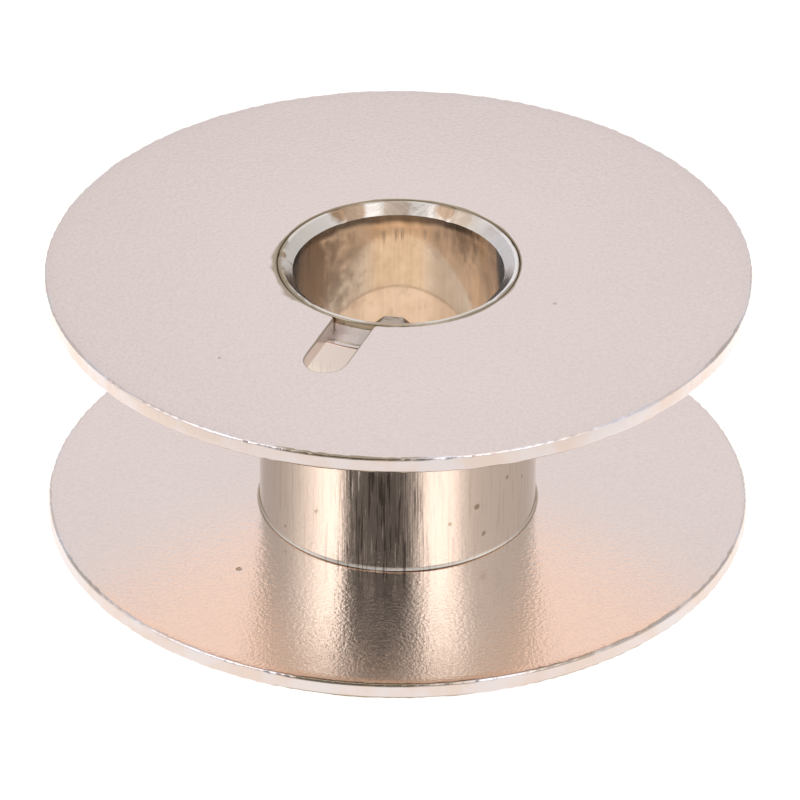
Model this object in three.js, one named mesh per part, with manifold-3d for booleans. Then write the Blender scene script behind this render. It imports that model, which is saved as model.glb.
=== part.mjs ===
// A sewing-machine bobbin: a turned hub tube whose necks are staked into two dished sheet-steel flanges.
// Millimetres, +Z up. The origin is at the centre of the bottom end, on the bobbin's axis.
import * as THREE from "three";
import { mergeVertices } from "three/addons/utils/BufferGeometryUtils.js";
import Module from "manifold-3d";

// Driving dimensions
const HEIGHT = 8.7;
const SEGMENTS = 72;

const FLANGE_RADIUS = 10.5;
const FLANGE_THICKNESS = 0.5;
const FLANGE_EDGE_ROUND = 0.12;
const ROUND_STEPS = 2;
const DISH = 0.2; // how far the middle of a flange stands out past its rim
const FLAT_RADIUS = 5; // inside this radius a flange is flat, and outside it is dished
const DISH_STEPS = 4;

const HUB_RADIUS = 4.15;
const FOOT_FLARE = 0.05; // how far the barrel spreads where it seats on each flange
const FOOT_HEIGHT = 0.12;
const NECK_RADIUS = 3.6;
const NECK_CLEARANCE = 0.03;
const BORE_RADIUS = 3.15;
const LIP_LAND = 0.15; // flat ring left between the neck's outside and the staking bevel
const BEVEL_DEPTH = 0.26;
const COUNTERBORE_RADIUS = 3.27;
const COUNTERBORE_DEPTH = 2;

const STAKE_ANGLES = [18, 62, 122, 173, 222, 269, 324];
const STAKE_RADIUS = 0.25;
const STAKE_DEPTH = 0.04;

const SLOT_ANGLE = 249; // plan direction of the drive slot, from +X towards +Y
const SLOT_WIDTH = 1.25;
const SLOT_END_RADIUS = 6.5;

const NICKEL = { color: 0xddd2cb, metalness: 1, roughness: 0.28 };
const TURNED_NICKEL = { color: 0xd8c9b8, metalness: 1, roughness: 0.15 };

const wasm = await Module();
wasm.setup();

/** A ring turned around Z from an outline of [radius, height] points: up its inside and down its outside. */
function turned(outline) {
  const points = [...outline, outline[0]].map(([radius, height]) => new THREE.Vector2(radius, height));
  return new THREE.LatheGeometry(points.reverse(), SEGMENTS).rotateX(Math.PI / 2);
}

/** A closed geometry as a manifold solid. */
function solidOf(geometry) {
  const bare = geometry.clone();
  bare.deleteAttribute("normal");
  bare.deleteAttribute("uv");
  const merged = mergeVertices(bare, 1e-5);
  const vertProperties = new Float32Array(merged.attributes.position.array);
  const triVerts = new Uint32Array(merged.index.array);
  return new wasm.Manifold(new wasm.Mesh({ numProp: 3, vertProperties, triVerts }));
}

/** One geometry less the cutters. */
function cut(geometry, cutters) {
  let solid = solidOf(geometry);
  for (const cutter of cutters) {
    solid = solid.subtract(solidOf(cutter));
  }
  const { vertProperties, triVerts } = solid.getMesh();
  const result = new THREE.BufferGeometry();
  result.setAttribute("position", new THREE.BufferAttribute(vertProperties, 3));
  result.setIndex(new THREE.BufferAttribute(triVerts, 1));
  result.computeVertexNormals();
  return result;
}

/** Points along a quarter circle, from one angle to another in degrees. */
function roundedCorner(centreRadius, centreHeight, radius, from, to) {
  return Array.from({ length: ROUND_STEPS + 1 }, (_, step) => {
    const angle = THREE.MathUtils.degToRad(from + ((to - from) * step) / ROUND_STEPS);
    return [centreRadius + radius * Math.cos(angle), centreHeight + radius * Math.sin(angle)];
  });
}

/** How far a flange has dropped back from its middle plane at a radius. */
function dishDrop(radius) {
  return DISH * ((radius - FLAT_RADIUS) / (FLANGE_RADIUS - FLAT_RADIUS)) ** 1.5;
}

/** A flange with its outer face up, that face's middle at height 0. */
function flange() {
  const hole = NECK_RADIUS + NECK_CLEARANCE;
  const faceEnd = FLANGE_RADIUS - FLANGE_EDGE_ROUND;
  const face = Array.from({ length: DISH_STEPS }, (_, step) => {
    const radius = FLAT_RADIUS + ((faceEnd - FLAT_RADIUS) * step) / DISH_STEPS;
    return [radius, -dishDrop(radius)];
  });
  const rimTop = -dishDrop(faceEnd) - FLANGE_EDGE_ROUND;
  const rimBottom = rimTop - FLANGE_THICKNESS + 2 * FLANGE_EDGE_ROUND;
  const back = face.map(([radius, height]) => [radius, height - FLANGE_THICKNESS]).reverse();
  return turned([
    [hole, -FLANGE_THICKNESS],
    [hole, 0],
    ...face,
    ...roundedCorner(faceEnd, rimTop, FLANGE_EDGE_ROUND, 90, 0),
    ...roundedCorner(faceEnd, rimBottom, FLANGE_EDGE_ROUND, 0, -90),
    ...back,
  ]);
}

/** The drive slot's cutter: a straight slot with a round outer end, open to the flange's hole. */
function slotCutter() {
  const half = SLOT_WIDTH / 2;
  const endCentre = SLOT_END_RADIUS - half;
  const outline = new THREE.Shape();
  outline.moveTo(NECK_RADIUS / 2, -half);
  outline.lineTo(endCentre, -half);
  outline.absarc(endCentre, 0, half, -Math.PI / 2, Math.PI / 2);
  outline.lineTo(NECK_RADIUS / 2, half);
  outline.closePath();
  const depth = 3 * FLANGE_THICKNESS;
  const cutter = new THREE.ExtrudeGeometry(outline, { depth, bevelEnabled: false, curveSegments: 16 });
  return cutter.translate(0, 0, -depth / 2).rotateZ(THREE.MathUtils.degToRad(SLOT_ANGLE));
}

/** The tube: a barrel between two flared shoulders, a neck at each end, and a bevelled bore with a counterbore below. */
function hubTube() {
  const shoulder = FLANGE_THICKNESS;
  const bevelRadius = NECK_RADIUS - LIP_LAND;
  const bevelSlope = BEVEL_DEPTH / (bevelRadius - BORE_RADIUS);
  const lowerBevelDepth = (bevelRadius - COUNTERBORE_RADIUS) * bevelSlope;
  const step = COUNTERBORE_RADIUS - BORE_RADIUS;
  const tube = turned([
    [NECK_RADIUS, 0],
    [bevelRadius, 0],
    [COUNTERBORE_RADIUS, lowerBevelDepth],
    [COUNTERBORE_RADIUS, COUNTERBORE_DEPTH],
    [BORE_RADIUS, COUNTERBORE_DEPTH + step],
    [BORE_RADIUS, HEIGHT - BEVEL_DEPTH],
    [bevelRadius, HEIGHT],
    [NECK_RADIUS, HEIGHT],
    [NECK_RADIUS, HEIGHT - shoulder],
    [HUB_RADIUS + FOOT_FLARE, HEIGHT - shoulder],
    [HUB_RADIUS, HEIGHT - shoulder - FOOT_HEIGHT],
    [HUB_RADIUS, shoulder + FOOT_HEIGHT],
    [HUB_RADIUS + FOOT_FLARE, shoulder],
    [NECK_RADIUS, shoulder],
  ]);
  return cut(tube, stakeCutters());
}

/** Round-nosed punches that lie along the bevel at each end, where each marks it lightly. */
function stakeCutters() {
  const bevelRadius = NECK_RADIUS - LIP_LAND;
  const slope = Math.atan2(BEVEL_DEPTH, bevelRadius - BORE_RADIUS);
  const middleRadius = (bevelRadius + BORE_RADIUS) / 2;
  const lift = STAKE_RADIUS - STAKE_DEPTH;
  const length = 2 * (NECK_RADIUS - BORE_RADIUS);
  const cutters = [];
  for (const [height, side] of [[HEIGHT, 1], [0, -1]]) {
    for (const angle of STAKE_ANGLES) {
      const punch = new THREE.CylinderGeometry(STAKE_RADIUS, STAKE_RADIUS, length, 16);
      punch.rotateZ(Math.PI / 2 + side * slope);
      punch.translate(
        middleRadius - lift * Math.sin(slope),
        0,
        height + side * (lift * Math.cos(slope) - BEVEL_DEPTH / 2),
      );
      cutters.push(punch.rotateZ(THREE.MathUtils.degToRad(angle)));
    }
  }
  return cutters;
}

/** A named piece with its own material. */
function piece(name, geometry, finish) {
  const mesh = new THREE.Mesh(geometry, new THREE.MeshStandardMaterial(finish));
  mesh.name = name;
  return mesh;
}

const hub = piece("hub_tube", hubTube(), TURNED_NICKEL);

const slottedFlange = piece("slotted_flange", cut(flange(), [slotCutter()]), NICKEL);
slottedFlange.position.z = HEIGHT;

const plainFlange = piece("plain_flange", flange(), NICKEL);
plainFlange.rotation.x = Math.PI;

const bobbin = new THREE.Group();
bobbin.add(hub, slottedFlange, plainFlange);

export default bobbin;
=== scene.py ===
"""A nickel-plated sewing-machine bobbin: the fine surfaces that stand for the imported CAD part."""

import math
from types import SimpleNamespace

import bpy
from mathutils import Matrix, Vector, geometry, noise


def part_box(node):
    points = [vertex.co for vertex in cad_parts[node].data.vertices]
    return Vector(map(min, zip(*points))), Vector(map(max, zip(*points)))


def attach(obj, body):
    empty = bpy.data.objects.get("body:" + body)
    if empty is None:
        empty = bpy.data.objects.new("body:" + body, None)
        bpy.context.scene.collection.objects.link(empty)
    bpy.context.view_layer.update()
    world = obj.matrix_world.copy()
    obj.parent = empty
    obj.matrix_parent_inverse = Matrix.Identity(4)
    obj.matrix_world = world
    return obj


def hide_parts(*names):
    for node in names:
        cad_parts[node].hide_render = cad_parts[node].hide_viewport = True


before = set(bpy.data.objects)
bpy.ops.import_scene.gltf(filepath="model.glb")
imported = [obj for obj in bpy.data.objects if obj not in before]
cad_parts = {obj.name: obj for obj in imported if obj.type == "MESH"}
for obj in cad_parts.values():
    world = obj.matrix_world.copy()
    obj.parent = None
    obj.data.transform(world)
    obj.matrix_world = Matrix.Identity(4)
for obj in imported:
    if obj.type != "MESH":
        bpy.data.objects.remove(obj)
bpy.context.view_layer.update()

MM = 0.001

# Sizes that the frame gives
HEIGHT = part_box("hub_tube")[1].z
FLANGE_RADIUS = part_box("slotted_flange")[1].x

# Sizes that the CAD source also names
HUB_RADIUS = 4.15 * MM
FOOT_HEIGHT = 0.12 * MM
FLANGE_THICKNESS = 0.5 * MM
FLANGE_EDGE_ROUND = 0.12 * MM
DISH = 0.2 * MM
FLAT_RADIUS = 5 * MM
NECK_RADIUS = 3.6 * MM
BORE_RADIUS = 3.15 * MM
LIP_LAND = 0.15 * MM
BEVEL_DEPTH = 0.26 * MM
COUNTERBORE_RADIUS = 3.27 * MM
COUNTERBORE_DEPTH = 2 * MM
STAKE_ANGLES = [math.radians(degrees) for degrees in (18, 62, 122, 173, 222, 269, 324)]
SLOT_ANGLE = math.radians(249)
SLOT_WIDTH = 1.25 * MM
SLOT_END_RADIUS = 6.5 * MM

# The staked neck fills its hole here, where the CAD solids keep clear of each other
HOLE_RADIUS = NECK_RADIUS + 0.001 * MM
NECK_EDGE_ROUND = 0.06 * MM

# The barrel's foot flares a little less here than in the CAD
FOOT_FLARE = 0.035 * MM
FOOT_EDGE_ROUND = 0.3 * FOOT_FLARE
FILLET_START = 0.35  # the share of the foot's height below its hollow curve

# How finely the surfaces are divided
TUBE_SEGMENTS = 480
RIM_SEGMENTS = 1440
FACE_SEGMENTS = 240
FACE_STEP = 0.32 * MM
ROUND_STEPS = 6
FOOT_ROUND_STEPS = 3
BORE_STEPS = 20
BARREL_STEPS = 10
UPPER_LIP_STEPS = 12
LOWER_LIP_STEPS = 8
OUTLINE_STEP = 0.045 * MM
CORNER_SMOOTHING = 10
EDGE_BORDER = 0.08 * MM
OPENING_MARGIN = 0.25 * MM
SLOT_EDGE_ROUND = 0.05 * MM
SHARP_ANGLE = math.radians(35)
MERGE_DISTANCE = 1e-9

# Small irregularities of the real pieces
STAKE_DEPTH = 0.02 * MM
STAKE_HALF_WIDTH = 0.24 * MM
STAKE_VARIETY = 0.5
BURR_ANGLE = math.radians(267)
BURR_HALF_WIDTH = 0.7 * MM
BURR_REACH = 0.4 * MM
BURR_LIFT = 0.15 * MM
BURR_FULLNESS = 1.6
BURR_SCALLOP = 0.3 * MM
RIM_ROUGHNESS = 0.007 * MM
RIM_GRAIN = 0.22 * MM
RIM_UNEVENNESS = 0.4
SLOT_UNEVENNESS = 0.2
LIP_ROUGHNESS = 0.02 * MM
LIP_GRAIN = 0.5 * MM

# Linear colours
NICKEL = (0.845, 0.715, 0.642)
WARM_NICKEL = (0.825, 0.692, 0.612)
DULL_NICKEL_AND_PAINTED_SHADE = (0.700, 0.600, 0.550)
HUB_NICKEL = (0.800, 0.725, 0.625)
HUB_WARM = (0.780, 0.700, 0.590)
RIM_NICKEL = (0.835, 0.765, 0.745)
PALE_NICKEL_AND_PAINTED_LIGHT = (0.900, 0.830, 0.780)
LIP_NICKEL = (0.820, 0.745, 0.665)
TARNISH = (0.330, 0.250, 0.150)
TAN_STAIN = (0.430, 0.280, 0.165)
BORE_TAN = (0.840, 0.718, 0.582)
BORE_BROWN = (0.735, 0.605, 0.470)
BORE_PALE = (0.870, 0.740, 0.640)
BORE_STAIN = (0.250, 0.210, 0.180)
BORE_PAINTED_SHADE_GREY = (0.725, 0.658, 0.595)
BORE_SHADE = (0.150, 0.130, 0.115)


# ---------------------------------------------------------------- meshes

def mesh_piece(name, points, faces, slots, materials):
    """A smooth-shaded mesh object whose faces take the material slots given."""
    mesh = bpy.data.meshes.new(name)
    mesh.from_pydata(points, [], faces)
    for material in materials:
        mesh.materials.append(material)
    mesh.polygons.foreach_set("material_index", slots)
    mesh.polygons.foreach_set("use_smooth", [True] * len(faces))
    mesh.set_sharp_from_angle(angle=SHARP_ANGLE)
    mesh.validate()
    piece = bpy.data.objects.new(name, mesh)
    bpy.context.scene.collection.objects.link(piece)
    weighted = piece.modifiers.new("flat_faces_stay_flat", "WEIGHTED_NORMAL")
    weighted.keep_sharp = True
    return piece


def grain(x, y, z, size):
    """Smooth noise from about -1 to 1, with bumps of the size given."""
    return noise.noise(Vector((x, y, z)) / size)


def ring_points(radius, height, segments):
    """Points evenly round a circle about the axis, anticlockwise from above."""
    turns = [math.tau * index / segments for index in range(segments)]
    return [Vector((radius * math.cos(turn), radius * math.sin(turn), height)) for turn in turns]


def corner(centre_radius, centre_height, radius, first, last, steps=ROUND_STEPS):
    """Points of a rounded corner in an outline, from one angle to another in degrees."""
    found = []
    for step in range(steps + 1):
        angle = math.radians(first + (last - first) * step / steps)
        found.append((centre_radius + radius * math.cos(angle), centre_height + radius * math.sin(angle)))
    return found


def straight(start, end, steps):
    """Points from start to end, leaving out the end."""
    return [
        tuple(a + (b - a) * step / steps for a, b in zip(start, end))
        for step in range(steps)
    ]


def strip(first_ring, second_ring, count):
    """Quads between two closed rings of points, named by their first index."""
    quads = []
    for index in range(count):
        after = (index + 1) % count
        quads.append((first_ring + index, first_ring + after, second_ring + after, second_ring + index))
    return quads


# ---------------------------------------------------------------- hub tube

BARREL, BORE, LIP = range(3)


def fillet(seat, way):
    """Points of the hollow curve from the barrel's flared foot on a flange to its plain wall."""
    found = []
    for step in range(1, ROUND_STEPS + 1):
        share = FILLET_START + (1 - FILLET_START) * step / ROUND_STEPS
        flare = FOOT_FLARE * (1 - share) ** 2
        found.append((HUB_RADIUS + flare, seat + way * FOOT_HEIGHT * share))
    return found


def tube_outline():
    """The tube's section as (radius, height, slot) points: up its inside and down its outside."""
    land = NECK_RADIUS - LIP_LAND
    slope = BEVEL_DEPTH / (land - BORE_RADIUS)
    lower_bevel = (land - COUNTERBORE_RADIUS) * slope
    step = COUNTERBORE_RADIUS - BORE_RADIUS
    shoulder = FLANGE_THICKNESS
    bore_top = HEIGHT - BEVEL_DEPTH
    seat = HUB_RADIUS + FOOT_FLARE - FOOT_EDGE_ROUND
    edge = NECK_EDGE_ROUND
    step_start = (COUNTERBORE_RADIUS, COUNTERBORE_DEPTH)
    step_end = (BORE_RADIUS, COUNTERBORE_DEPTH + step)
    barrel_top = (HUB_RADIUS, HEIGHT - shoulder - FOOT_HEIGHT)
    barrel_bottom = (HUB_RADIUS, shoulder + FOOT_HEIGHT)
    upper_foot = corner(seat, HEIGHT - shoulder - FOOT_EDGE_ROUND, FOOT_EDGE_ROUND, 90, 0, FOOT_ROUND_STEPS)
    lower_foot = corner(seat, shoulder + FOOT_EDGE_ROUND, FOOT_EDGE_ROUND, 0, -90, FOOT_ROUND_STEPS)
    sections = [
        (LIP, straight((NECK_RADIUS - edge, 0), (land, 0), 2)),
        (LIP, straight((land, 0), (COUNTERBORE_RADIUS, lower_bevel), LOWER_LIP_STEPS)),
        (BORE, straight((COUNTERBORE_RADIUS, lower_bevel), step_start, 4)),
        (BORE, straight(step_start, step_end, 2)),
        (BORE, straight(step_end, (BORE_RADIUS, bore_top), BORE_STEPS)),
        (LIP, straight((BORE_RADIUS, bore_top), (land, HEIGHT), UPPER_LIP_STEPS)),
        (LIP, straight((land, HEIGHT), (NECK_RADIUS - edge, HEIGHT), 3)),
        (LIP, corner(NECK_RADIUS - edge, HEIGHT - edge, edge, 90, 0)),
        (BARREL, straight((NECK_RADIUS, HEIGHT - edge), (NECK_RADIUS, HEIGHT - shoulder), 3)[1:]),
        (BARREL, straight((NECK_RADIUS, HEIGHT - shoulder), (seat, HEIGHT - shoulder), 2)),
        (BARREL, upper_foot),
        (BARREL, fillet(HEIGHT - shoulder, -1)),
        (BARREL, straight(barrel_top, barrel_bottom, BARREL_STEPS)[1:]),
        (BARREL, fillet(shoulder, 1)[::-1]),
        (BARREL, lower_foot),
        (BARREL, straight((seat, shoulder), (NECK_RADIUS, shoulder), 2)[1:]),
        (BARREL, straight((NECK_RADIUS, shoulder), (NECK_RADIUS, edge), 3)),
        (LIP, corner(NECK_RADIUS - edge, edge, edge, 0, -90)[:-1]),
    ]
    return [(radius, height, slot) for slot, points in sections for radius, height in points]


def turned_away(turn, centre):
    """How far round one angle lies from another, ignoring which way."""
    return abs((turn - centre + math.pi) % math.tau - math.pi)


def hump(across):
    """1 at the middle of a mark, falling smoothly to 0 at its edge, which is 1 away."""
    return 0.5 + 0.5 * math.cos(math.pi * min(1, across))


def stake_dent(radius, turn):
    """How deep the staking punches have marked the bevel at a place."""
    deepest = 0
    for index, centre in enumerate(STAKE_ANGLES):
        weight = 1 + STAKE_VARIETY * grain(index * 3.7, 0.5, 0.5, 1)
        across = turned_away(turn, centre) * radius / (STAKE_HALF_WIDTH * weight)
        deepest = max(deepest, STAKE_DEPTH * weight * hump(across))
    return deepest


def worn_lip(point, radius):
    """A point of the lip moved by the punch marks, by wear, and by the burr that one punch has raised."""
    upper = point.z > HEIGHT / 2
    turn = math.atan2(point.y, point.x)
    point.z += (-1 if upper else 1) * stake_dent(radius, turn)
    inward = LIP_ROUGHNESS * (0.25 + 0.25 * grain(point.x, point.y, point.z, LIP_GRAIN))
    share = (NECK_RADIUS - LIP_LAND - radius) / (NECK_RADIUS - LIP_LAND - BORE_RADIUS)
    if upper and share > 0:
        scallops = 0.85 + 0.25 * grain(point.x, point.y, 0, BURR_SCALLOP)
        from_burr = turned_away(turn, BURR_ANGLE) * radius
        swell = min(1, BURR_FULLNESS * hump(from_burr / BURR_HALF_WIDTH))
        raised = share * swell * scallops
        inward += BURR_REACH * raised
        point.z += BURR_LIFT * raised
    point.x -= point.x / radius * inward
    point.y -= point.y / radius * inward
    return point


def hub_tube(materials):
    """The tube, turned from its section, with its lips worn."""
    outline = tube_outline()
    points, faces, slots = [], [], []
    for radius, height, slot in outline:
        ring = ring_points(radius, height, TUBE_SEGMENTS)
        points += [worn_lip(point, radius) for point in ring] if slot == LIP else ring
    count = len(outline)
    for index in range(count):
        ring, after = index * TUBE_SEGMENTS, (index + 1) % count * TUBE_SEGMENTS
        faces += [quad[::-1] for quad in strip(ring, after, TUBE_SEGMENTS)]
        slots += [outline[index][2]] * TUBE_SEGMENTS
    return mesh_piece("bobbin_hub_tube", points, faces, slots, materials)


# ---------------------------------------------------------------- flanges

FACE, RIM, WALL = range(3)


def dish_drop(radius):
    """How far a flange has dropped back from its middle plane at a radius."""
    share = max(0, radius - FLAT_RADIUS) / (FLANGE_RADIUS - FLAT_RADIUS)
    return DISH * share**1.5


def rounded(outline, passes):
    """A closed outline with its corners eased by averaging neighbours."""
    for _ in range(passes):
        outline = [
            (outline[index - 1] + 2 * point + outline[(index + 1) % len(outline)]) / 4
            for index, point in enumerate(outline)
        ]
    return outline


def hole_outline(with_slot):
    """The flange's opening in plan, anticlockwise: a circle, with the drive slot let into it if asked."""
    if not with_slot:
        return [point.to_2d() for point in ring_points(HOLE_RADIUS, 0, RIM_SEGMENTS)]
    half = SLOT_WIDTH / 2
    mouth_angle = math.asin(half / HOLE_RADIUS)
    mouth = HOLE_RADIUS * math.cos(mouth_angle)
    end_centre = SLOT_END_RADIUS - half
    local = []
    arc = math.tau - 2 * mouth_angle
    arc_steps = round(arc * HOLE_RADIUS / OUTLINE_STEP)
    for step in range(arc_steps):
        angle = mouth_angle + arc * step / arc_steps
        local.append((HOLE_RADIUS * math.cos(angle), HOLE_RADIUS * math.sin(angle)))
    side_steps = round((end_centre - mouth) / OUTLINE_STEP)
    local += straight((mouth, -half), (end_centre, -half), side_steps)
    end_steps = round(math.pi * half / OUTLINE_STEP)
    for step in range(end_steps):
        angle = -math.pi / 2 + math.pi * step / end_steps
        local.append((end_centre + half * math.cos(angle), half * math.sin(angle)))
    local += straight((end_centre, half), (mouth, half), side_steps)
    turn = Matrix.Rotation(SLOT_ANGLE, 2)
    return rounded([turn @ Vector(point) for point in local], CORNER_SMOOTHING)


def void_directions(outline, side):
    """For each point of an outline, the unit direction into the open space on its left (1) or right (-1)."""
    found = []
    for index in range(len(outline)):
        along = (outline[(index + 1) % len(outline)] - outline[index - 1]).normalized()
        found.append(side * Vector((-along.y, along.x)))
    return found


def local_round(point, edge_round, level, unevenness):
    """The radius of a cut edge's rounded corner at a place: it wanders, and is nicked here and there."""
    slow = grain(point.x, point.y, level, 5 * RIM_GRAIN)
    quick = grain(point.x, point.y, level, RIM_GRAIN)
    return edge_round * (1 - unevenness * min(1, max(0, 0.45 + 0.7 * slow + 1.1 * quick)))


def edge_rings(outline, voids, edge_round, unevenness, wear):
    """Rings of points down a cut edge: a rounded corner at the face, a wall, and a corner at the back."""
    rings = []
    angles = [math.pi / 2 * step / ROUND_STEPS for step in range(ROUND_STEPS + 1)]
    stations = [(angle, 0, -1) for angle in angles]
    stations += [(angle, -FLANGE_THICKNESS, 1) for angle in reversed(angles)]
    for angle, face_height, inward in stations:
        ring = []
        for point, void in zip(outline, voids):
            corner_round = local_round(point, edge_round, inward * 3 * MM, unevenness)
            set_back = corner_round * (1 - math.sin(angle))
            height = face_height - dish_drop(point.length) + inward * corner_round * (1 - math.cos(angle))
            bite = math.sin(angle) * wear * (0.5 + 0.5 * grain(point.x, point.y, height * 2, RIM_GRAIN))
            place = point - void * (set_back + bite)
            ring.append(Vector((place.x, place.y, height)))
        rings.append(ring)
    return rings


def face_points(outline, voids, rim_radius):
    """Plan points that fill a flange's face between its opening and its rim."""
    beside = [point - void * (SLOT_EDGE_ROUND + EDGE_BORDER) for point, void in zip(outline, voids)]
    found = beside[::2]
    rows = int((rim_radius - HOLE_RADIUS) / FACE_STEP)
    slot_way = Vector((math.cos(SLOT_ANGLE), math.sin(SLOT_ANGLE)))
    clear = SLOT_WIDTH / 2 + OPENING_MARGIN
    slotted = len(outline) != RIM_SEGMENTS
    for row in range(1, rows):
        radius = rim_radius - row * FACE_STEP
        for point in ring_points(radius, 0, FACE_SEGMENTS):
            plan = point.to_2d()
            along = plan.dot(slot_way)
            aside = (plan - slot_way * along).length
            in_slot = slotted and 0 < along < SLOT_END_RADIUS + OPENING_MARGIN and aside < clear
            if radius > HOLE_RADIUS + OPENING_MARGIN and not in_slot:
                found.append(plan)
    return found


def filled(plan, sizes):
    """Triangles, anticlockwise, that fill a face between its hole's loop of points and its rim's."""
    loops, at = [], 0
    for size in sizes:
        loops += [(at + index, at + (index + 1) % size) for index in range(size)]
        at += size
    _, _, triangles, sources = geometry.delaunay_2d_cdt(plan, loops, [], 0, MERGE_DISTANCE)[:4]
    found = [[sources[index][0] for index in triangle] for triangle in triangles]
    return [corners for corners in found if in_sheet(corners, *sizes)]


def in_loop_order(corners):
    """Whether three corners, named by their places in one loop, come in the order of the loop."""
    first, second, third = corners
    return (second - first) * (third - second) * (first - third) < 0


def in_sheet(corners, hole_size, rim_size):
    """Whether a triangle of a filled face lies in the sheet, and not in its hole or beyond its rim."""
    if max(corners) < hole_size:
        return not in_loop_order(corners)
    if min(corners) >= hole_size and max(corners) < hole_size + rim_size:
        return in_loop_order(corners)
    return True


def flange(name, materials, with_slot, flip):
    """A dished flange with its outer face up at the tube's end, or turned over to lie at the bottom."""
    hole = hole_outline(with_slot)
    rim = [point.to_2d() for point in ring_points(FLANGE_RADIUS, 0, RIM_SEGMENTS)]
    hole_voids, rim_voids = void_directions(hole, 1), void_directions(rim, -1)
    edges = [
        (edge_rings(hole, hole_voids, SLOT_EDGE_ROUND, SLOT_UNEVENNESS, 0), WALL, False),
        (edge_rings(rim, rim_voids, FLANGE_EDGE_ROUND, RIM_UNEVENNESS, RIM_ROUGHNESS), RIM, True),
    ]
    points, faces, slots = [], [], []
    borders = {0: [], -FLANGE_THICKNESS: []}
    for rings, slot, reverse in edges:
        count = len(rings[0])
        start = len(points)
        for ring in rings:
            points += ring
        for index in range(len(rings) - 1):
            quads = strip(start + index * count, start + (index + 1) * count, count)
            faces += [quad[::-1] if reverse else quad for quad in quads]
            slots += [slot] * count
        borders[0] += range(start, start + count)
        borders[-FLANGE_THICKNESS] += range(start + (len(rings) - 1) * count, start + len(rings) * count)

    inner = face_points(hole, hole_voids, FLANGE_RADIUS - FLANGE_EDGE_ROUND)
    for face_height, border in borders.items():
        ids = border + list(range(len(points), len(points) + len(inner)))
        points += [Vector((*place, face_height - dish_drop(place.length))) for place in inner]
        triangles = filled([points[index].to_2d() for index in ids], (len(hole), len(rim)))
        for triangle in triangles:
            corners = [ids[index] for index in triangle]
            faces.append(corners if face_height == 0 else corners[::-1])
            slots.append(FACE)

    if flip:
        place = Matrix.Rotation(math.pi, 4, "X")
    else:
        place = Matrix.Translation((0, 0, HEIGHT))
    return mesh_piece(name, [place @ point for point in points], faces, slots, materials)


# ---------------------------------------------------------------- materials

# Patterns, in bumps for each metre
CLOUDS = 260.0
SAND = 10000.0
PEBBLES = 9000.0
MOTTLE = 2600.0
SEAM_RAGGEDNESS = 900.0
FRAYING = 3000.0
RIM_CHIPS = 4200.0
WALL_GRAIN = 5200.0
LIP_GRAINING = 4200.0
BARREL_SAND = 8000.0
BORE_MOTTLE = 1500.0
BORE_BLOTS = 900.0
BORE_WAVES = 1200.0
BARREL_CLOUDS = 380.0
RIM_CLOUDS = 900.0
LIP_CLOUDS = 700.0
SHEET_PITS = 420.0
BARREL_PITS = 900.0
# Lengthwise patterns, in bumps for each radian round the axis
RIM_MARKS = 70.0
WALL_STREAKS = 110.0
SCRATCHES = 60.0
GROOVES = 47.0
BARREL_LINES = 34.0
BORE_STREAKS = 15.0
BORE_TEETH = 12.0
# How far a lengthwise pattern moves on for each metre along the axis, in the same radians
DRAWN_OUT = 9.0
# Real heights of the fine relief
PEBBLE_RELIEF = 0.0092 * MM
RIM_RELIEF = 0.009 * MM
WALL_RELIEF = 0.008 * MM
BARREL_RELIEF = 0.005 * MM
BORE_RELIEF = 0.002 * MM
LIP_RELIEF = 0.01 * MM
# A pit's greatest radius and the softness of its edge, as shares of its cell
PIT_RADIUS, PIT_SOFTNESS = 0.055, 0.02
# How strongly tarnish shows in the seams, along the foot and round the slot
SEAM_STRENGTH = 0.85
FACE_SEAM_STRENGTH = 0.8
FOOT_SEAM_STRENGTH = 0.75
SLOT_OUTLINE_STRENGTH = 0.8
# The dark line at the barrel's foot: its middle outside the foot, and where it starts and is full
FOOT_LINE_OFFSET = 0.01 * MM
FOOT_LINE_START, FOOT_LINE_FULL = 0.047 * MM, 0.017 * MM
# The seam's stain reaches furthest on this side, and the bore's stains gather at these two:
# point and size in millimetres
SEAM_CROWDING = ((-3.65, -0.60, 8.6), 2.2)
BORE_LEFT_STAIN = ((-3.30, 0.90, 6.8), 3.2)
BORE_RIGHT_STAIN = ((3.20, 1.20, 6.8), 1.8)


def add_node(tree, kind, values=None, **settings):
    """A node with its settings made, and each input set to a value or linked from a socket."""
    made = tree.nodes.new(kind)
    for key, value in settings.items():
        setattr(made, key, value)
    for key, value in (values or {}).items():
        if isinstance(value, bpy.types.NodeSocket):
            tree.links.new(value, made.inputs[key])
        else:
            made.inputs[key].default_value = value
    return made


def sum_of(tree, operation, first, second=0.0, third=0.0):
    """The output of a Math node."""
    return add_node(tree, "ShaderNodeMath", {0: first, 1: second, 2: third}, operation=operation).outputs[0]


def noise_of(tree, place, scale, detail=2.0, roughness=0.5):
    """A noise pattern's factor; the scale is in bumps for each metre."""
    values = {"Vector": place, "Scale": scale, "Detail": detail, "Roughness": roughness}
    return add_node(tree, "ShaderNodeTexNoise", values).outputs["Fac"]


def between(tree, value, low, high):
    """Takes low to 0 and high to 1, smoothly and clamped."""
    values = {"Value": value, "From Min": low, "From Max": high}
    made = add_node(tree, "ShaderNodeMapRange", values, interpolation_type="SMOOTHSTEP")
    return made.outputs["Result"]


def blended(tree, share, first, second):
    """A colour part of the way from the first to the second."""
    made = add_node(tree, "ShaderNodeMix", data_type="RGBA")
    for socket, value in ((made.inputs[0], share), (made.inputs[6], first), (made.inputs[7], second)):
        if isinstance(value, bpy.types.NodeSocket):
            tree.links.new(value, socket)
        else:
            socket.default_value = (*value, 1) if isinstance(value, tuple) else value
    return made.outputs[2]


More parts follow.
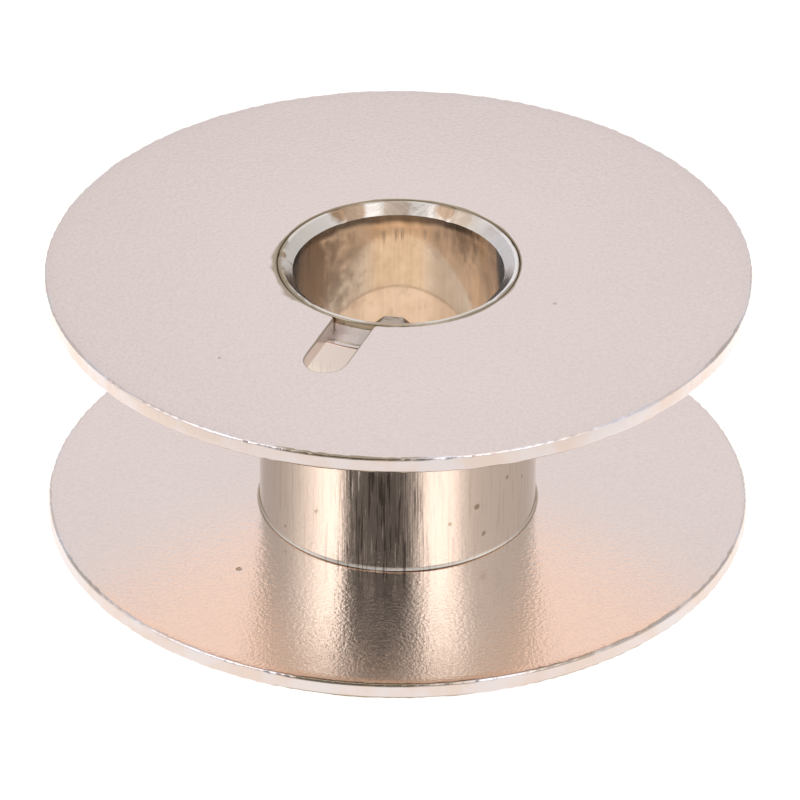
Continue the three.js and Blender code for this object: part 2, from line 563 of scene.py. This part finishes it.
def places(tree):
    """The shaded point: its coordinates and radius, and a vector for marks that run along the axis."""
    position = add_node(tree, "ShaderNodeTexCoord").outputs["Object"]
    split = add_node(tree, "ShaderNodeSeparateXYZ", {0: position}).outputs
    plan = add_node(tree, "ShaderNodeCombineXYZ", {0: split[0], 1: split[1]}).outputs[0]
    radius = add_node(tree, "ShaderNodeVectorMath", {0: plan}, operation="LENGTH").outputs["Value"]
    heading = add_node(tree, "ShaderNodeVectorMath", {0: plan}, operation="NORMALIZE").outputs[0]
    slow_height = sum_of(tree, "MULTIPLY", split[2], DRAWN_OUT)
    rise = add_node(tree, "ShaderNodeCombineXYZ", {2: slow_height}).outputs[0]
    lengthwise = add_node(tree, "ShaderNodeVectorMath", {0: heading, 1: rise}, operation="ADD").outputs[0]
    return SimpleNamespace(
        position=position,
        across=split[0],
        along=split[1],
        height=split[2],
        radius=radius,
        lengthwise=lengthwise,
    )


def metal(name):
    """A new material's tree and its shader."""
    material = bpy.data.materials.new(name)
    material.use_nodes = True
    shader = material.node_tree.nodes["Principled BSDF"]
    shader.inputs["Metallic"].default_value = 1.0
    return material, material.node_tree, shader


def finish_metal(tree, shader, colour, roughness, height, depth):
    """Links a metal's colour, roughness and bump; depth is the bump's real height in metres."""
    tree.links.new(colour, shader.inputs["Base Color"])
    tree.links.new(roughness, shader.inputs["Roughness"])
    bump = add_node(tree, "ShaderNodeBump", {"Height": height, "Distance": depth, "Strength": 1.0})
    tree.links.new(bump.outputs[0], shader.inputs["Normal"])


def pits(tree, position, scale, commonness=0.25):
    """1 in a few small round specks, and 0 elsewhere."""
    cells = add_node(tree, "ShaderNodeTexVoronoi", {"Vector": position, "Scale": scale})
    chosen = add_node(tree, "ShaderNodeSeparateColor", {0: cells.outputs["Color"]}).outputs[0]
    size = between(tree, chosen, 1.0 - commonness, 1.0)
    limit = sum_of(tree, "MULTIPLY", size, PIT_RADIUS)
    return between(tree, sum_of(tree, "SUBTRACT", limit, cells.outputs["Distance"]), 0.0, PIT_SOFTNESS)


def smudge(tree, place, centre, size):
    """1 at a point given in millimetres, fading raggedly to 0 about one size away from it."""
    values = {0: place.position, 1: [value * MM for value in centre]}
    away = add_node(tree, "ShaderNodeVectorMath", values, operation="DISTANCE").outputs["Value"]
    frayed = noise_of(tree, place.position, FRAYING, 3.0)
    ragged = sum_of(tree, "MULTIPLY_ADD", frayed, size * MM, size * MM / 2)
    return between(tree, sum_of(tree, "DIVIDE", away, ragged), 1.0, 0.5)


def smudged(tree, place, smudges):
    """The strongest at each point of some smudges, given as (centre, size, strength)."""
    marked = 0.0
    for centre, size, strength in smudges:
        mark = sum_of(tree, "MULTIPLY", smudge(tree, place, centre, size), strength)
        marked = stronger(tree, marked, mark)
    return marked


def seam_stain(tree, place):
    """1 where the staked neck meets its flange, with a ragged edge that reaches further on one side."""
    away = sum_of(tree, "ABSOLUTE", sum_of(tree, "SUBTRACT", place.radius, NECK_RADIUS))
    ragged = between(tree, noise_of(tree, place.position, SEAM_RAGGEDNESS, 3.0), 0.4, 0.75)
    crowded = smudge(tree, place, *SEAM_CROWDING)
    spread = sum_of(tree, "MULTIPLY_ADD", crowded, 0.26 * MM, 0.06 * MM)
    floor_reach = sum_of(tree, "MULTIPLY_ADD", crowded, 0.1 * MM, 0.07 * MM)
    reach = sum_of(tree, "MULTIPLY_ADD", ragged, spread, floor_reach)
    return between(tree, sum_of(tree, "DIVIDE", away, reach), 1.0, 0.45)


def stronger(tree, first, second):
    """The larger of two values."""
    return sum_of(tree, "MAXIMUM", first, second)


# Dark specks on the flanges: point and size in millimetres, and how strongly
SHEET_SPECKS = (
    ((-4.70, -4.13, 0.5), 0.11, 0.8), ((9.55, 1.20, 0.35), 0.08, 0.7), ((9.20, -2.90, 0.35), 0.09, 0.7),
    ((8.60, -4.70, 0.35), 0.09, 0.7), ((-5.20, -5.30, 8.6), 0.07, 0.6), ((4.60, -2.30, 8.7), 0.08, 0.4),
)


def foot_seam(tree, place):
    """1 on the dark line round the barrel's foot, on the flanges' inner faces only."""
    from_foot = sum_of(tree, "SUBTRACT", place.radius, HUB_RADIUS + FOOT_FLARE + FOOT_LINE_OFFSET)
    away = sum_of(tree, "ABSOLUTE", from_foot)
    line = between(tree, away, FOOT_LINE_START, FOOT_LINE_FULL)
    from_middle = sum_of(tree, "ABSOLUTE", sum_of(tree, "SUBTRACT", place.height, HEIGHT / 2))
    inner_face = between(tree, from_middle, HEIGHT / 2 - 0.2 * MM, HEIGHT / 2 - 0.4 * MM)
    return sum_of(tree, "MULTIPLY", sum_of(tree, "MULTIPLY", line, inner_face), FOOT_SEAM_STRENGTH)


def plated_sheet():
    """The flanges' faces: pebbled nickel with faint clouds, a few pits, and tarnish in the seams."""
    material, tree, shader = metal("pebbled_nickel")
    place = places(tree)
    clouds = noise_of(tree, place.position, CLOUDS, 3.0)
    colour = blended(tree, clouds, NICKEL, WARM_NICKEL)
    sand = between(tree, noise_of(tree, place.position, SAND, 2.0), 0.35, 0.7)
    colour = blended(tree, sum_of(tree, "MULTIPLY", sand, 0.36), colour, DULL_NICKEL_AND_PAINTED_SHADE)
    seam = sum_of(tree, "MULTIPLY", seam_stain(tree, place), FACE_SEAM_STRENGTH)
    colour = blended(tree, seam, colour, TARNISH)
    colour = blended(tree, foot_seam(tree, place), colour, TARNISH)
    specks = stronger(tree, pits(tree, place.position, SHEET_PITS), smudged(tree, place, SHEET_SPECKS))
    colour = blended(tree, specks, colour, TARNISH)
    mottle = noise_of(tree, place.position, MOTTLE, 2.0)
    outward = between(tree, place.radius, 6.5 * MM, 10 * MM)
    blurred = sum_of(tree, "MULTIPLY_ADD", outward, 0.04, 0.1)
    roughness = sum_of(tree, "MULTIPLY_ADD", mottle, 0.06, blurred)
    pebbles = noise_of(tree, place.position, PEBBLES, 2.0, 0.55)
    height = sum_of(tree, "SUBTRACT", pebbles, sum_of(tree, "MULTIPLY", specks, 2.0))
    finish_metal(tree, shader, colour, roughness, height, PEBBLE_RELIEF)
    return material


# Dark tarnish along the rims' corners: point and size in millimetres, and how strongly
RIM_STAINS = (
    ((-1.40, -10.40, 8.45), 2.70, 0.9), ((-1.20, -10.40, 0.65), 2.80, 0.9),
    ((1.30, -10.35, 0.65), 1.20, 0.6), ((4.90, -9.20, 0.65), 1.50, 0.6),
    ((7.20, -7.50, 0.65), 2.00, 0.5), ((9.40, -4.50, 0.65), 2.00, 0.4),
    ((-9.30, -4.80, 0.65), 1.50, 0.4), ((9.60, -4.20, 8.45), 1.50, 0.4),
    ((0.90, 10.40, 8.45), 2.50, 0.5),
)


def rim_corner(tree, place):
    """1 along the rounded corners of both rims, and 0 on the rim between them."""
    from_middle = sum_of(tree, "ABSOLUTE", sum_of(tree, "SUBTRACT", place.height, HEIGHT / 2))
    rim_middle = HEIGHT / 2 - DISH - FLANGE_THICKNESS / 2
    from_rim_middle = sum_of(tree, "ABSOLUTE", sum_of(tree, "SUBTRACT", from_middle, rim_middle))
    rim_edge = FLANGE_THICKNESS / 2
    return between(tree, from_rim_middle, rim_edge - 0.1 * MM, rim_edge - 0.06 * MM)


def sheared_edge():
    """The flanges' rims: bright, with the short marks and chips of a sheared edge."""
    material, tree, shader = metal("sheared_nickel_edge")
    place = places(tree)
    clouds = noise_of(tree, place.position, RIM_CLOUDS, 2.0)
    colour = blended(tree, between(tree, clouds, 0.35, 0.65), RIM_NICKEL, WARM_NICKEL)
    stain = sum_of(tree, "MULTIPLY", smudged(tree, place, RIM_STAINS), rim_corner(tree, place))
    colour = blended(tree, stain, colour, TARNISH)
    marks = noise_of(tree, place.lengthwise, RIM_MARKS, 3.0, 0.7)
    roughness = sum_of(tree, "MULTIPLY_ADD", marks, 0.18, 0.12)
    chips = noise_of(tree, place.position, RIM_CHIPS, 3.0, 0.7)
    height = sum_of(tree, "ADD", marks, chips)
    finish_metal(tree, shader, colour, roughness, height, RIM_RELIEF)
    return material


def punched_wall():
    """The walls of the slot and the flange's hole: fine-grained, brown in the seam and along the edges."""
    material, tree, shader = metal("punched_nickel_wall")
    place = places(tree)
    streaks = noise_of(tree, place.lengthwise, WALL_STREAKS, 3.0, 0.6)
    colour = blended(tree, streaks, PALE_NICKEL_AND_PAINTED_LIGHT, NICKEL)
    colour = blended(tree, sum_of(tree, "MULTIPLY", seam_stain(tree, place), SEAM_STRENGTH), colour, TARNISH)
    from_middle = sum_of(tree, "ABSOLUTE", sum_of(tree, "SUBTRACT", place.height, HEIGHT / 2))
    outline = between(tree, from_middle, HEIGHT / 2 - 0.05 * MM, HEIGHT / 2 - 0.02 * MM)
    colour = blended(tree, sum_of(tree, "MULTIPLY", outline, SLOT_OUTLINE_STRENGTH), colour, TARNISH)
    roughness = sum_of(tree, "MULTIPLY_ADD", streaks, 0.2, 0.22)
    height = noise_of(tree, place.position, WALL_GRAIN, 3.0, 0.6)
    finish_metal(tree, shader, colour, roughness, height, WALL_RELIEF)
    return material


# Brown specks on the barrel, towards the right: point and size in millimetres, and how strongly
BARREL_SPECKS = (
    ((2.37, -3.41, 2.29), 0.13, 0.8), ((1.57, -3.84, 1.96), 0.08, 0.6), ((2.57, -3.26, 1.25), 0.12, 0.7),
    ((3.25, -2.58, 2.81), 0.09, 0.7), ((3.70, -1.88, 2.40), 0.07, 0.6), ((2.95, -2.92, 4.70), 0.08, 0.5),
)


def scratched_zone(tree, place):
    """1 where the barrel is most scratched, at the front and below its top, and little elsewhere."""
    off_centre = sum_of(tree, "ABSOLUTE", sum_of(tree, "ADD", place.across, 0.6 * MM))
    middle = between(tree, off_centre, 1.7 * MM, 1.0 * MM)
    front = between(tree, place.along, 0.0, -3.0 * MM)
    below = between(tree, place.height, HEIGHT - 1.0 * MM, HEIGHT - 1.6 * MM)
    strongest = sum_of(tree, "MULTIPLY", middle, front)
    return sum_of(tree, "MULTIPLY", sum_of(tree, "MULTIPLY_ADD", strongest, 0.82, 0.18), below)


def turned_barrel():
    """The tube's outside: bright nickel with drawn lines along the axis, painted shade just below the top
    flange, and painted light that makes the necks paler.
    """
    material, tree, shader = metal("drawn_nickel_barrel")
    place = places(tree)
    clouds = noise_of(tree, place.position, BARREL_CLOUDS, 2.0)
    colour = blended(tree, clouds, HUB_NICKEL, HUB_WARM)
    zone = scratched_zone(tree, place)
    scratches = between(tree, noise_of(tree, place.lengthwise, SCRATCHES, 2.0, 0.6), 0.55, 0.68)
    scratches = sum_of(tree, "MULTIPLY", scratches, zone)
    grooves = between(tree, noise_of(tree, place.lengthwise, GROOVES, 2.0, 0.6), 0.46, 0.36)
    grooves = sum_of(tree, "MULTIPLY", grooves, zone)
    # Painted light: the neck and the inner part of the shoulder are made paler.
    painted_light_on_neck = between(tree, place.radius, HUB_RADIUS - 0.03 * MM, NECK_RADIUS + 0.3 * MM)
    # Painted shade: the barrel is made duller and darker in its top part, just below the top flange.
    painted_shade_below_flange = between(tree, place.height, HEIGHT - 1.9 * MM, HEIGHT - 1.3 * MM)
    colour = blended(tree, sum_of(tree, "MULTIPLY", painted_shade_below_flange, 0.8), colour, DULL_NICKEL_AND_PAINTED_SHADE)
    colour = blended(tree, painted_light_on_neck, colour, PALE_NICKEL_AND_PAINTED_LIGHT)
    colour = blended(tree, sum_of(tree, "MULTIPLY", grooves, 0.85), colour, BORE_STAIN)
    specks = stronger(tree, pits(tree, place.position, BARREL_PITS, 0.1), smudged(tree, place, BARREL_SPECKS))
    colour = blended(tree, specks, colour, TARNISH)
    scratched = sum_of(tree, "MULTIPLY_ADD", scratches, 0.32, 0.06)
    roughness = sum_of(tree, "MULTIPLY_ADD", painted_light_on_neck, 0.4, scratched)
    lines = noise_of(tree, place.lengthwise, BARREL_LINES, 3.0, 0.7)
    sand = noise_of(tree, place.position, BARREL_SAND, 2.0)
    height = sum_of(tree, "MULTIPLY_ADD", sand, 0.5, sum_of(tree, "MULTIPLY", lines, zone))
    height = sum_of(tree, "SUBTRACT", height, specks)
    finish_metal(tree, shader, colour, roughness, height, BARREL_RELIEF)
    return material


def bore_stains_and_painted_shade():
    """The tube's inside: warm plating, stains that hang from the upper lip, a cleaner counterbore, a painted
    shadow under the upper lip, painted shade greying its left and right sides, and painted shade in the
    counterbore's step.
    """
    material, tree, shader = metal("bore_stains_and_painted_shade")
    place = places(tree)
    streaks = noise_of(tree, place.lengthwise, BORE_STREAKS, 4.0, 0.65)
    mottle = sum_of(tree, "MULTIPLY", noise_of(tree, place.position, BORE_MOTTLE, 4.0, 0.65), 0.55)
    mottled = sum_of(tree, "MULTIPLY_ADD", streaks, 0.45, mottle)
    colour = blended(tree, between(tree, mottled, 0.36, 0.64), BORE_TAN, BORE_BROWN)
    aside = sum_of(tree, "ABSOLUTE", place.across)
    # Painted shade: the bore's left and right sides are made greyer.
    colour = blended(tree, between(tree, aside, 1.7 * MM, 2.7 * MM), colour, BORE_PAINTED_SHADE_GREY)
    low = between(tree, place.height, COUNTERBORE_DEPTH + 0.12 * MM, COUNTERBORE_DEPTH)
    colour = blended(tree, low, colour, BORE_PALE)
    # Painted shade in the counterbore's step: a dark line round the bore there.
    above_step = sum_of(tree, "SUBTRACT", place.height, COUNTERBORE_DEPTH + 0.06 * MM)
    painted_step_shade = between(tree, sum_of(tree, "ABSOLUTE", above_step), 0.1 * MM, 0.03 * MM)
    wavy = sum_of(tree, "MULTIPLY", noise_of(tree, place.position, BORE_WAVES, 3.0), 0.3 * MM)
    wavy_top = sum_of(tree, "ADD", wavy, HEIGHT - BEVEL_DEPTH - 0.1 * MM)
    below_top = sum_of(tree, "SUBTRACT", wavy_top, place.height)
    # Painted shadow under the upper lip: a dark band just below the bevel, faded out towards the right side.
    ring = between(tree, below_top, 0.42 * MM, 0.2 * MM)
    ring = sum_of(tree, "MULTIPLY", ring, between(tree, place.across, 3.1 * MM, 1.7 * MM))
    teeth = noise_of(tree, place.lengthwise, BORE_TEETH, 4.0, 0.7)
    hang = sum_of(tree, "MULTIPLY_ADD", teeth, 2.6 * MM, -0.62 * MM)
    hanging = between(tree, sum_of(tree, "SUBTRACT", hang, below_top), -0.15 * MM, 0.35 * MM)
    hanging = sum_of(tree, "MULTIPLY", hanging, between(tree, below_top, 0.4 * MM, 0.65 * MM))
    left = smudge(tree, place, *BORE_LEFT_STAIN)
    right = smudge(tree, place, *BORE_RIGHT_STAIN)
    bars = between(tree, streaks, 0.35, 0.6)
    blots = between(tree, noise_of(tree, place.position, BORE_BLOTS, 4.0, 0.65), 0.54, 0.72)
    marks = (
        sum_of(tree, "MULTIPLY", left, sum_of(tree, "MULTIPLY_ADD", bars, 0.2, 0.95)),
        sum_of(tree, "MULTIPLY", right, sum_of(tree, "MULTIPLY", bars, 0.25)),
        sum_of(tree, "MULTIPLY", blots, 0.35),
        painted_step_shade,
    )
    stain = sum_of(tree, "MULTIPLY", hanging, 0.8)
    for mark in marks:
        stain = stronger(tree, stain, mark)
    # Real stains, with the painted shade at the counterbore's step among them, take the colour towards brown
    # here.
    colour = blended(tree, sum_of(tree, "MULTIPLY", stain, 0.75), colour, BORE_STAIN)
    # The painted shadow under the upper lip.
    colour = blended(tree, sum_of(tree, "MULTIPLY", ring, 0.9), colour, BORE_SHADE)
    roughness = sum_of(tree, "MULTIPLY_ADD", stain, 0.16, 0.05)
    dirty = between(tree, aside, 2.4 * MM, 3.05 * MM)
    tree.links.new(sum_of(tree, "MULTIPLY_ADD", dirty, -0.3, 1.0), shader.inputs["Metallic"])
    finish_metal(tree, shader, colour, roughness, streaks, BORE_RELIEF)
    return material


# Where the lip is marked: point and size in millimetres, and how strongly
LIP_SMUDGES = (
    ((-1.80, 3.00, 8.6), 0.45, 1.0), ((-1.40, 3.10, 8.6), 0.55, 0.9), ((-0.05, 3.30, 8.6), 0.60, 0.6),
    ((1.42, 3.10, 8.6), 0.45, 0.9), ((-3.45, 0.45, 8.65), 0.20, 0.9), ((-3.30, -0.90, 8.6), 0.60, 0.6),
    ((1.85, 2.75, 8.6), 0.50, 0.6), ((-0.15, -3.05, 8.6), 1.10, 0.7),
)


def staked_lip():
    """The bevelled lip: pale nickel rubbed by the staking tool, with tan marks where the punches met it, and
    painted light that makes its right side paler.
    """
    material, tree, shader = metal("staked_lip")
    place = places(tree)
    clouds = noise_of(tree, place.position, LIP_CLOUDS, 3.0)
    colour = blended(tree, clouds, LIP_NICKEL, HUB_WARM)
    # Painted light: the lip's right side is made paler.
    colour = blended(tree, between(tree, place.across, 2.1 * MM, 2.9 * MM), colour, PALE_NICKEL_AND_PAINTED_LIGHT)
    cloudy = sum_of(tree, "MULTIPLY", between(tree, clouds, 0.55, 0.75), 0.4)
    marked = stronger(tree, cloudy, smudged(tree, place, LIP_SMUDGES))
    colour = blended(tree, marked, colour, TAN_STAIN)
    colour = blended(tree, sum_of(tree, "MULTIPLY", seam_stain(tree, place), SEAM_STRENGTH), colour, TARNISH)
    roughness = sum_of(tree, "MULTIPLY_ADD", clouds, 0.2, 0.16)
    height = noise_of(tree, place.position, LIP_GRAINING, 3.0, 0.6)
    finish_metal(tree, shader, colour, roughness, height, LIP_RELIEF)
    return material


# ---------------------------------------------------------------- studio

FLOOR_SIZE = 4.0
FLOOR_GAP = 0.01 * MM
PLAIN_WHITE = 1.1  # brightness of the floor and the room where the camera sees them directly
CAMERA_ELEVATION = math.radians(32.24)
CAMERA_DISTANCE = 252 * MM
CAMERA_TARGET = Vector((0.06, -2.08, 5.19)) * MM
CAMERA_ROLL = 0.0041
CAMERA_LENS = 382.9
CAMERA_CLIP_START = 10 * MM
# Brightness of the room around the object, by plan direction in degrees: 0 is towards the camera, 90 is +X
ROOM = (
    (-180, 0.93), (-160, 0.74), (-148, 0.62), (-122, 0.64), (-106, 0.74), (-95, 0.92), (-86, 1.16),
    (-76, 1.50), (-66, 1.92), (-58, 2.10), (-51, 2.05), (-43, 0.20), (-34, 0.18), (-4, 0.12), (7, 0.20),
    (15, 0.50), (24, 1.75), (31, 2.05), (46, 1.90), (53, 1.38), (61, 0.96), (72, 0.81), (100, 0.74),
    (135, 0.69), (152, 0.74), (180, 0.93),
)
# The same close to the horizon, where the room is softer; the strong lights stand above these heights
LOW_ROOM = (
    (-180, 0.80), (-125, 0.58), (-70, 0.95), (-42, 0.54), (8, 0.63), (32, 0.82), (65, 0.98), (120, 0.60),
    (180, 0.80),
)
LIGHTS_START, LIGHTS_FULL = 0.39, 0.47
ROOM_TINT = (0.992, 1.010, 1.085, 1)
FLOOR_TINT = (1.035, 1.000, 0.985, 1)
OVERHEAD = 1.0
OVERHEAD_START, OVERHEAD_FULL = 0.82, 0.95
# Brightness of the floor in the metal, by distance behind the axis
FLOOR_LEVELS = ((-15 * MM, 0.92), (17 * MM, 1.37))


def levels(tree, share, stops, first, last):
    """A ramp through (place, level) stops, for a share that runs from 0 at first to 1 at last."""
    ramp = add_node(tree, "ShaderNodeValToRGB", {0: share})
    strongest = max(level for _, level in stops)
    elements = ramp.color_ramp.elements
    while len(elements) < len(stops):
        elements.new(0.5)
    for element, (place, level) in zip(elements, stops):
        element.position = (place - first) / (last - first)
        element.color = (level / strongest, level / strongest, level / strongest, 1)
    return sum_of(tree, "MULTIPLY", ramp.outputs[0], strongest)


def mixed(tree, share, first, second):
    """A value part of the way from the first to the second."""
    return add_node(tree, "ShaderNodeMix", {0: share, 2: first, 3: second}, data_type="FLOAT").outputs[0]


def to_the_eye(tree, level):
    """A level for the metal to reflect, and plain white for the background that is seen directly."""
    seen = add_node(tree, "ShaderNodeLightPath").outputs["Is Camera Ray"]
    return mixed(tree, seen, level, PLAIN_WHITE)


def white_floor():
    """A pale floor bright enough to hold no shadow, like an overexposed light table."""
    half = FLOOR_SIZE / 2
    corners = [(-half, -half, 0), (half, -half, 0), (half, half, 0), (-half, half, 0)]
    mesh = bpy.data.meshes.new("floor")
    mesh.from_pydata(corners, [], [(0, 1, 2, 3)])
    material = bpy.data.materials.new("light_table")
    material.use_nodes = True
    tree = material.node_tree
    tree.nodes.clear()
    position = add_node(tree, "ShaderNodeTexCoord").outputs["Object"]
    behind = add_node(tree, "ShaderNodeSeparateXYZ", {0: position}).outputs[1]
    (near, near_level), (far, far_level) = FLOOR_LEVELS
    values = {"Value": behind, "From Min": near, "From Max": far, "To Min": near_level, "To Max": far_level}
    level = add_node(tree, "ShaderNodeMapRange", values, interpolation_type="LINEAR").outputs["Result"]
    shown = {"Color": FLOOR_TINT, "Strength": to_the_eye(tree, level)}
    glow = add_node(tree, "ShaderNodeEmission", shown)
    output = add_node(tree, "ShaderNodeOutputMaterial")
    tree.links.new(glow.outputs[0], output.inputs[0])
    mesh.materials.append(material)
    floor = bpy.data.objects.new("floor", mesh)
    floor.location.z = -FLOOR_GAP
    bpy.context.scene.collection.objects.link(floor)


def studio_light():
    """The room as the metal sees it: softboxes either side of a dark camera position, in a pale tent."""
    world = bpy.data.worlds.new("studio")
    world.use_nodes = True
    bpy.context.scene.world = world
    tree = world.node_tree
    tree.nodes.clear()
    direction = add_node(tree, "ShaderNodeTexCoord").outputs["Generated"]
    split = add_node(tree, "ShaderNodeSeparateXYZ", {0: direction}).outputs
    towards_camera = sum_of(tree, "MULTIPLY", split[1], -1.0)
    turn = sum_of(tree, "ARCTAN2", split[0], towards_camera)
    share = sum_of(tree, "MULTIPLY_ADD", turn, 1 / math.tau, 0.5)
    lit = levels(tree, share, ROOM, -180, 180)
    low = levels(tree, share, LOW_ROOM, -180, 180)
    raised = between(tree, split[2], LIGHTS_START, LIGHTS_FULL)
    around = mixed(tree, raised, low, lit)
    upward = between(tree, split[2], OVERHEAD_START, OVERHEAD_FULL)
    level = mixed(tree, upward, around, OVERHEAD)
    shown = {"Color": ROOM_TINT, "Strength": to_the_eye(tree, level)}
    background = add_node(tree, "ShaderNodeBackground", shown)
    output = add_node(tree, "ShaderNodeOutputWorld")
    tree.links.new(background.outputs[0], output.inputs[0])


def camera():
    """The camera, at the height and the slight roll of the picture."""
    sight = Vector((0, math.cos(CAMERA_ELEVATION), -math.sin(CAMERA_ELEVATION)))
    right = Vector((1, 0, 0))
    up = right.cross(sight)
    basis = Matrix((right, up, -sight)).transposed().to_4x4()
    lens = bpy.data.cameras.new("camera")
    lens.lens = CAMERA_LENS
    lens.clip_start = CAMERA_CLIP_START
    made = bpy.data.objects.new("camera", lens)
    place = Matrix.Translation(CAMERA_TARGET - sight * CAMERA_DISTANCE)
    made.matrix_world = place @ basis @ Matrix.Rotation(CAMERA_ROLL, 4, "Z")
    bpy.context.scene.collection.objects.link(made)
    bpy.context.scene.camera = made


# ---------------------------------------------------------------- assembly

sheet_metals = [plated_sheet(), sheared_edge(), punched_wall()]
fine_pieces = (
    (hub_tube([turned_barrel(), bore_stains_and_painted_shade(), staked_lip()]), "hub_tube", "turned_nickel"),
    (flange("bobbin_slotted_flange", sheet_metals, True, False), "slotted_flange", "nickel"),
    (flange("bobbin_plain_flange", sheet_metals, False, True), "plain_flange", "nickel"),
)
for piece, node, slot in fine_pieces:
    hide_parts(node)
    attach(piece, "root")

white_floor()
studio_light()
camera()
bpy.context.scene.view_settings.view_transform = "Standard"
